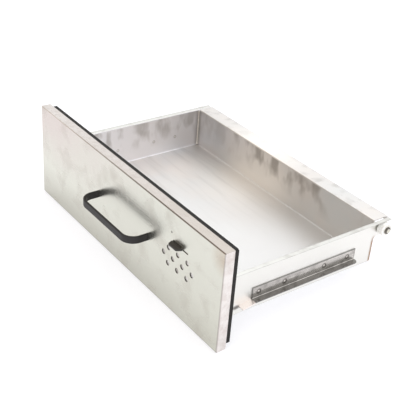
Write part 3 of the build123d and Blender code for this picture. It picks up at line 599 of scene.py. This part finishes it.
# %% Rail finish
drawn_angle, tree, place, shader = begin("drawn_stainless_angle")
axes = add(tree, "SeparateXYZ", {"Vector": place}).outputs
long_streaks = add(tree, "Mapping", {"Vector": place, "Scale": (300.0, 9.0, 300.0)}).outputs[0]
streaks = add(tree, "TexNoise", {"Vector": long_streaks, "Scale": 1.0, "Detail": 4.0}).outputs[0]
streaks = add(tree, "MapRange", {"Value": streaks, START: 0.35, END: 0.68}).outputs[0]
metal = add(
    tree, "Mix", {AMOUNT: streaks, UNDER: hexed("#bbb7b3"), OVER: hexed("#d6d2cd")}, data_type="RGBA"
).outputs[2]
# The flat shelf gets painted shade, and so do the leg's cut edges. The leg begins behind the ramp.
LEG_FRONT = FACE_Y + 90.0 * MM
RAMP_END = FACE_Y + 88.0 * MM
sideways = add(tree, "Math", {0: axes["X"]}, operation="ABSOLUTE").outputs[0]
shelf = add(
    tree, "MapRange", {"Value": sideways, START: rail_low.x + 1.9 * MM, END: rail_low.x + 2.6 * MM}
).outputs[0]
leg_top = add(
    tree, "MapRange", {"Value": axes["Z"], START: rail_high.z - 1.4 * MM, END: rail_high.z - 0.5 * MM}
)
leg_front = add(tree, "MapRange", {"Value": axes["Y"], START: LEG_FRONT, END: LEG_FRONT - 1.0 * MM})
rail_painted_shade = add(
    tree, "Math", {0: leg_top.outputs[0], 1: leg_front.outputs[0]}, operation="MAXIMUM"
).outputs[0]
rail_painted_shade = add(tree, "Math", {0: rail_painted_shade, 1: shelf}, operation="MAXIMUM").outputs[0]
metal = add(
    tree, "Mix", {AMOUNT: rail_painted_shade, UNDER: metal, OVER: hexed("#868583")}, data_type="RGBA"
).outputs[2]
wear_and_painted_floor_highlight = add(tree, "TexNoise", {"Vector": place, "Scale": 60.0, "Detail": 3.0}).outputs[0]
wear_and_painted_floor_highlight = add(tree, "MapRange", {"Value": wear_and_painted_floor_highlight, START: 0.5, END: 0.7, MOST: 0.5}).outputs[0]
metal = add(
    tree, "Mix", {AMOUNT: wear_and_painted_floor_highlight, UNDER: metal, OVER: hexed("#777470")}, data_type="RGBA"
).outputs[2]
weld_gap = spot_distance(tree, place)
# Each spot weld: a dark ring, with a painted highlight in its middle.
ring = add(tree, "MapRange", {"Value": weld_gap, START: 6.5 * MM, END: 3.6 * MM, MOST: 0.9}).outputs[0]
bead = add(tree, "MapRange", {"Value": weld_gap, START: 3.0 * MM, END: 1.6 * MM}).outputs[0]
metal = add(tree, "Mix", {AMOUNT: ring, UNDER: metal, OVER: hexed("#5a5450")}, data_type="RGBA").outputs[2]
metal = add(tree, "Mix", {AMOUNT: bead, UNDER: metal, OVER: hexed("#f4efe9")}, data_type="RGBA").outputs[2]
# The ramp at the front gets a painted highlight, nearly white.
painted_ramp_highlight = add(tree, "MapRange", {"Value": axes["Y"], START: RAMP_END, END: RAMP_END - 1.5 * MM}).outputs[0]
metal = add(tree, "Mix", {AMOUNT: painted_ramp_highlight, UNDER: metal, OVER: hexed("#fdf3ef")}, data_type="RGBA").outputs[2]
tree.links.new(metal, shader.inputs["Base Color"])
shader.inputs["Roughness"].default_value = 0.24
shader.inputs["Metallic"].default_value = 1.0
bumps = add(tree, "Bump", {"Height": streaks, "Strength": 0.2, "Distance": 0.0001})
tree.links.new(bumps.outputs[0], shader.inputs["Normal"])
coat(drawn_angle, "rail_left", "rail_right")
print(drawn_angle.name, len(tree.nodes), "nodes")

# %% [markdown]
# ## Black powder coat and rubber
# The handle is steel strap under black powder coat: a dark skin with pebbles of 0.7 mm and a broad dull
# shine, worn smoother in patches of 26 mm. The seal is extruded rubber, greyer and quite matt, with a bloom
# in clouds of 18 mm. Plain grey shaders would do from far off, but up close the pebbles and the bloom tell
# the two apart.

# %% Black finishes
powder_coat, tree, place, shader = begin("black_powder_coat")
pebble = add(tree, "TexNoise", {"Vector": place, "Scale": 1400.0, "Detail": 2.0}).outputs[0]
worn = add(tree, "TexNoise", {"Vector": place, "Scale": 38.0, "Detail": 4.0}).outputs[0]
tone = add(
    tree, "Mix", {AMOUNT: worn, UNDER: hexed("#0f0d0e"), OVER: hexed("#1e1a1c")}, data_type="RGBA"
).outputs[2]
tree.links.new(tone, shader.inputs["Base Color"])
sheen = add(tree, "MapRange", {"Value": worn, LEAST: 0.42, MOST: 0.58}).outputs[0]
tree.links.new(sheen, shader.inputs["Roughness"])
bumps = add(tree, "Bump", {"Height": pebble, "Strength": 0.35, "Distance": 0.00015})
tree.links.new(bumps.outputs[0], shader.inputs["Normal"])

seal_rubber, tree, place, shader = begin("extruded_black_rubber")
bloom = add(tree, "TexNoise", {"Vector": place, "Scale": 55.0, "Detail": 5.0}).outputs[0]
tone = add(
    tree, "Mix", {AMOUNT: bloom, UNDER: hexed("#151413"), OVER: hexed("#292725")}, data_type="RGBA"
).outputs[2]
tree.links.new(tone, shader.inputs["Base Color"])
shader.inputs["Roughness"].default_value = 0.72
shader.inputs["Specular IOR Level"].default_value = 0.35
bumps = add(tree, "Bump", {"Height": bloom, "Strength": 0.4, "Distance": 0.0004})
tree.links.new(bumps.outputs[0], shader.inputs["Normal"])

coat(powder_coat, "handle")
coat(seal_rubber, "seal_bottom", "seal_right", "seal_top", "seal_left")
print("handle and seal finished")

# %% [markdown]
# ## Nylon and plastic
# The rollers are turned from white nylon, which is a little waxy, and running has marked it with spots some
# 6 mm apart. The vent's grip is moulded black plastic with a small gloss. Its grain is finer than it is
# made here, at about 3 mm, so that it shows.
# Nylon lets a little light in, but on a roller this small it hardly shows, so no glow is added.

# %% Nylon and plastic finishes
white_nylon, tree, place, shader = begin("turned_white_nylon")
marks = add(tree, "TexNoise", {"Vector": place, "Scale": 160.0, "Detail": 3.0}).outputs[0]
marks = add(tree, "MapRange", {"Value": marks, START: 0.5, END: 0.75}).outputs[0]
tone = add(
    tree, "Mix", {AMOUNT: marks, UNDER: hexed("#fdfcf9"), OVER: hexed("#ebe7df")}, data_type="RGBA"
).outputs[2]
tree.links.new(tone, shader.inputs["Base Color"])
shader.inputs["Roughness"].default_value = 0.42
bumps = add(tree, "Bump", {"Height": marks, "Strength": 0.2, "Distance": 0.0002})
tree.links.new(bumps.outputs[0], shader.inputs["Normal"])

grip_plastic, tree, place, shader = begin("moulded_black_plastic")
marks = add(tree, "TexNoise", {"Vector": place, "Scale": 300.0, "Detail": 4.0}).outputs[0]
tone = add(
    tree, "Mix", {AMOUNT: marks, UNDER: hexed("#1d1b1a"), OVER: hexed("#3a3735")}, data_type="RGBA"
).outputs[2]
tree.links.new(tone, shader.inputs["Base Color"])
shader.inputs["Roughness"].default_value = 0.38
bumps = add(tree, "Bump", {"Height": marks, "Strength": 0.3, "Distance": 0.0002})
tree.links.new(bumps.outputs[0], shader.inputs["Normal"])

coat(white_nylon, "roller_left", "roller_right")
coat(grip_plastic, "vent_grip")
print("rollers and grip finished")

# %% [markdown]
# ## Zinc, spring steel, weld metal and wool
# Screws, nuts, studs, washers and axles are bright zinc plate with a faint blue and yellow cast. The clips
# are blackened spring steel, worn to bare metal in specks of 2 to 3 mm. Weld metal is bright, with warm
# clouds of 4 mm. The board inside the panel is mineral wool, a dull yellow felt with tufts of about 5 mm.
# Most of these are hidden or tiny, so one noise in the colour is enough for each.

# %% Small part finishes
zinc_plate, tree, place, shader = begin("bright_zinc_plate")
cast = add(tree, "TexNoise", {"Vector": place, "Scale": 90.0, "Detail": 2.0}).outputs[0]
tone = add(
    tree, "Mix", {AMOUNT: cast, UNDER: hexed("#c9ccd0"), OVER: hexed("#d8d2bd")}, data_type="RGBA"
).outputs[2]
tree.links.new(tone, shader.inputs["Base Color"])
shader.inputs["Metallic"].default_value = 1.0
shader.inputs["Roughness"].default_value = 0.28

spring_steel, tree, place, shader = begin("blackened_spring_steel")
cast = add(tree, "TexNoise", {"Vector": place, "Scale": 400.0, "Detail": 3.0}).outputs[0]
tone = add(
    tree, "Mix", {AMOUNT: cast, UNDER: hexed("#4a4642"), OVER: hexed("#8a837b")}, data_type="RGBA"
).outputs[2]
tree.links.new(tone, shader.inputs["Base Color"])
shader.inputs["Metallic"].default_value = 0.6
shader.inputs["Roughness"].default_value = 0.4

weld_metal, tree, place, shader = begin("fresh_weld_metal")
cast = add(tree, "TexNoise", {"Vector": place, "Scale": 260.0, "Detail": 3.0}).outputs[0]
tone = add(
    tree, "Mix", {AMOUNT: cast, UNDER: hexed("#fdfbf7"), OVER: hexed("#e2d8ca")}, data_type="RGBA"
).outputs[2]
tree.links.new(tone, shader.inputs["Base Color"])
shader.inputs["Metallic"].default_value = 1.0
shader.inputs["Roughness"].default_value = 0.3

mineral_wool, tree, place, shader = begin("pressed_mineral_wool")
tufts = add(tree, "TexNoise", {"Vector": place, "Scale": 220.0, "Detail": 6.0}).outputs[0]
tone = add(
    tree, "Mix", {AMOUNT: tufts, UNDER: hexed("#8d7b4a"), OVER: hexed("#c6b27a")}, data_type="RGBA"
).outputs[2]
tree.links.new(tone, shader.inputs["Base Color"])
shader.inputs["Roughness"].default_value = 0.95
bumps = add(tree, "Bump", {"Height": tufts, "Strength": 0.8, "Distance": 0.001})
tree.links.new(bumps.outputs[0], shader.inputs["Normal"])

coat(zinc_plate, "handle_studs", "handle_washers", "handle_nuts", "panel_screws", "panel_nuts")
coat(zinc_plate, "axle_left", "axle_right", "thrust_washer_left", "thrust_washer_right")
coat(spring_steel, "clip_left", "clip_right")
coat(weld_metal, "corner_welds")
coat(mineral_wool, "insulation_board")
print("every node has a finish:", all(o.data.materials[0] for o in nodes.values()))

# %% [markdown]
# ## Surfaces from grids of points
# New pieces are surfaces over a grid: one direction runs along the piece and the other round it. One
# function turns such a grid into a mesh, closes it where it meets itself, and makes its faces look
# outwards. Blender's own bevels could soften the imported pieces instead, but those are loose triangles.

# %% Grid to mesh
def surface(name, points, ring_along=False):
    """A closed mesh over points of shape (along, around, 3).

    Each face joins a point to the next one round and to the next one along. The grid closes on itself
    round the piece. Along it, the grid closes too if ring_along, else each end gets a fan to its middle.
    The signed volume, a sixth of the sum of the faces' triple products, tells if the faces look inwards.
    """
    rows, turns = points.shape[:2]
    index = np.arange(rows * turns).reshape(rows, turns)
    here, ahead = (index, np.roll(index, -1, 0)) if ring_along else (index[:-1], index[1:])
    quads = np.stack([here, np.roll(here, -1, 1), np.roll(ahead, -1, 1), ahead], -1).reshape(-1, 4)
    vertices = points.reshape(-1, 3)
    faces = quads.tolist()
    if not ring_along:
        middles = np.stack([points[0].mean(0), points[-1].mean(0)])
        vertices = np.vstack([vertices, middles])
        first, last = rows * turns, rows * turns + 1
        start, end = index[0], index[-1]
        faces += np.stack([np.roll(start, -1), start, np.full(turns, first)], -1).tolist()
        faces += np.stack([end, np.roll(end, -1), np.full(turns, last)], -1).tolist()
    a, b, c, d = (vertices[quads[:, k]] for k in range(4))
    volume = (a * np.cross(b, c)).sum() + (a * np.cross(c, d)).sum()
    if volume < 0:
        faces = [face[::-1] for face in faces]
    mesh = bpy.data.meshes.new(name)
    mesh.from_pydata(vertices.tolist(), [], faces)
    mesh.polygons.foreach_set("use_smooth", np.ones(len(faces), bool))
    piece = bpy.data.objects.new(name, mesh)
    bpy.context.scene.collection.objects.link(piece)
    even = piece.modifiers.new("even_normals", "WEIGHTED_NORMAL")
    even.keep_sharp = True
    return piece


def rounded_bar(wide, tall, corner, steps=7):
    """Outline of a rounded rectangle: each corner's centre plus a quarter circle of the corner radius."""
    quarter = np.repeat(np.arange(4), steps)
    angle = quarter * np.pi / 2 + np.tile(np.linspace(0, np.pi / 2, steps), 4)
    right = np.where(np.isin(quarter, (0, 3)), 1.0, -1.0) * (wide / 2 - corner)
    top = np.where(quarter < 2, 1.0, -1.0) * (tall / 2 - corner)
    return right + corner * np.cos(angle), top + corner * np.sin(angle)


print("outline points:", len(rounded_bar(4.6, 13.5, 1.0)[0]))

# %% [markdown]
# ## The handle
# On the real drawer this is one steel strap bent to a bow and then coated, so its edges are soft. It could
# be bevelled from a box, but a strap is simply an outline carried along a bent line. The line is drawn by
# its heading, as a person would walk it: straight out, a quarter turn, along, a quarter turn, and back in.

# %% Handle strap
# The strap's middle line stands out from the face by `out` and reaches `half` to each side. Its two bends
# have a radius of `bend`.
thick = 4.6 * MM
tall = bow_high.z - bow_low.z
bend = 26 * MM - thick / 2
half = (bow_high.x - bow_low.x - thick) / 2
out = FACE_Y - bow_low.y - thick / 2
leg_steps, bend_steps, bar_steps = 12, 24, 40
headings = np.concatenate(
    [
        np.full(leg_steps, -np.pi / 2),
        np.linspace(-np.pi / 2, 0, bend_steps),
        np.zeros(bar_steps),
        np.linspace(0, np.pi / 2, bend_steps),
        np.full(leg_steps, np.pi / 2),
    ]
)
lengths = np.concatenate(
    [
        np.full(leg_steps, (out - bend) / leg_steps),
        np.full(bend_steps, bend * np.pi / 2 / bend_steps),
        np.full(bar_steps, 2 * (half - bend) / bar_steps),
        np.full(bend_steps, bend * np.pi / 2 / bend_steps),
        np.full(leg_steps, (out - bend) / leg_steps),
    ]
)
walk = np.stack([np.cos(headings), np.sin(headings)], -1) * lengths[:, None]
walk = np.vstack([[0, 0], np.cumsum(walk, 0)])
# Short straight steps round a bend miss its true size by a hair, so the walk is scaled to the box.
walk[:, 1] *= out / -walk[:, 1].min()
walk[:, 0] *= 2 * half / walk[-1, 0]
headings = np.append(headings, np.pi / 2)
outwards = np.stack([np.sin(headings), -np.cos(headings)], -1)
flat_side, edge_side = rounded_bar(thick, tall, 1.1 * MM)
strap = np.zeros((len(walk), len(flat_side), 3))
strap[..., 0] = (bow_low.x + bow_high.x) / 2 - half + walk[:, 0, None] + outwards[:, 0, None] * flat_side
strap[..., 1] = FACE_Y + walk[:, 1, None] + outwards[:, 1, None] * flat_side
strap[..., 2] = (bow_low.z + bow_high.z) / 2 + edge_side
handle_bow = surface("handle_bow", strap)
handle_bow.data.materials.append(powder_coat)
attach(handle_bow, "drawer")
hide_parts("handle")
print("handle stands out", round((FACE_Y - strap[..., 1].min()) / MM, 1), "mm")

# %% [markdown]
# ## Weld beads in the tray's corners
# A welder runs down each inside corner and stops on the floor with a small blob. A bead is a round bar
# whose radius rises and falls once for each drop of metal, which is easy to say as a formula and would be
# slow to sculpt.

# %% Corner beads
# Radius: 1.15 mm, plus up to 0.28 mm in each drop, plus up to 1.1 mm in the blob at the foot.
DROP = 2.3 * MM
BLOB = 3.0 * MM
INSET = 0.35 * MM
OFFSET = 0.2
around = np.linspace(0, 2 * np.pi, 18, endpoint=False)
bead_foot = weld_low.z - 1.2 * MM
height = np.linspace(weld_high.z, bead_foot, 130)
drops = np.abs(np.sin(np.pi * (weld_high.z - height) / DROP))
blob = np.exp(-(((height - bead_foot) / BLOB) ** 2))
radius = MM * (1.15 + 0.28 * drops + 1.1 * blob)[:, None]
# The bead's middle stays the inset and a fifth of its radius away from both walls.
across = WALL_IN - INSET - OFFSET * radius + radius * np.cos(around)
outwards = INSET + OFFSET * radius + radius * np.sin(around)
for name, side, wall_y, way in (
    ("weld_bead_rear_left", -1, REAR_IN, -1),
    ("weld_bead_rear_right", 1, REAR_IN, -1),
    ("weld_bead_front_left", -1, PANEL_BACK_Y + SHEET, 1),
    ("weld_bead_front_right", 1, PANEL_BACK_Y + SHEET, 1),
):
    bead = np.zeros((len(height), len(around), 3))
    bead[..., 0] = side * across
    bead[..., 1] = wall_y + way * outwards
    bead[..., 2] = height[:, None]
    piece = surface(name, bead)
    piece.data.materials.append(weld_metal)
    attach(piece, "drawer")
    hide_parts("corner_welds")
print("four beads of", len(height), "rings")

# %% [markdown]
# ## Nylon rollers
# A roller is turned, so it is a profile spun round its axle. The profile is a closed loop: bore, inner
# face, a very slightly crowned tread, and an outer face with a shallow dish round its hub. Blender's Screw
# modifier could spin it, but a grid of profile points by angles is closed from the start.

# %% Rollers
spin_y = (roller_low.y + roller_high.y) / 2
spin_z = (roller_low.z + roller_high.z) / 2
wide = roller_high.x - roller_low.x
outer = (roller_high.z - roller_low.z) / 2
AXLE_RADIUS = 4.0 * MM
RUNNING_GAP = 0.06 * MM
ROUND = 1.6 * MM
CROWN = 0.12 * MM
DISH = 1.2 * MM
bore = AXLE_RADIUS + RUNNING_GAP
HUB = 7.4 * MM
LIP = 0.3 * MM
# The tread falls away from its middle with the square of the distance, by the crown at each end.
share = np.linspace(0, 1, 15)
tread = np.stack([ROUND + share * (wide - 2 * ROUND), outer - CROWN * (2 * share - 1) ** 2], -1)
# A quarter circle rounds each end of the tread.
angle = np.linspace(0, np.pi / 2, 6)[1:-1]
round_x = ROUND * (1 - np.cos(angle))
round_r = outer - CROWN - ROUND * (1 - np.sin(angle))
inner_round = np.stack([round_x, round_r], -1)
outer_round = np.stack([wide - round_x, round_r], -1)[::-1]
inner_face = [(0.0, bore), (0.0, HUB), (0.0, outer - 2.0 * MM)]
outer_face = [
    (wide, outer - 2.0 * MM),
    (wide, outer - 2.5 * MM),
    (wide - LIP, outer - 2.5 * MM - LIP),
    (wide - DISH, outer - 3.2 * MM),
    (wide - DISH, HUB + 0.4 * MM),
    (wide - LIP, HUB),
    (wide, HUB - LIP),
    (wide, bore),
]
profile = np.vstack([inner_face, inner_round, tread, outer_round, outer_face])
spin = np.linspace(0, 2 * np.pi, 72, endpoint=False)
for name, side, body, node in (
    ("nylon_roller_right", 1, "right_roller", "roller_right"),
    ("nylon_roller_left", -1, "left_roller", "roller_left"),
):
    ring = np.zeros((len(spin), len(profile), 3))
    ring[..., 0] = side * (roller_low.x + profile[:, 0])
    ring[..., 1] = spin_y + profile[:, 1] * np.cos(spin)[:, None]
    ring[..., 2] = spin_z + profile[:, 1] * np.sin(spin)[:, None]
    piece = surface(name, ring, ring_along=True)
    piece.data.materials.append(white_nylon)
    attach(piece, body)
    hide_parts(node)
print("rollers of radius", round(outer / MM, 1), "mm")
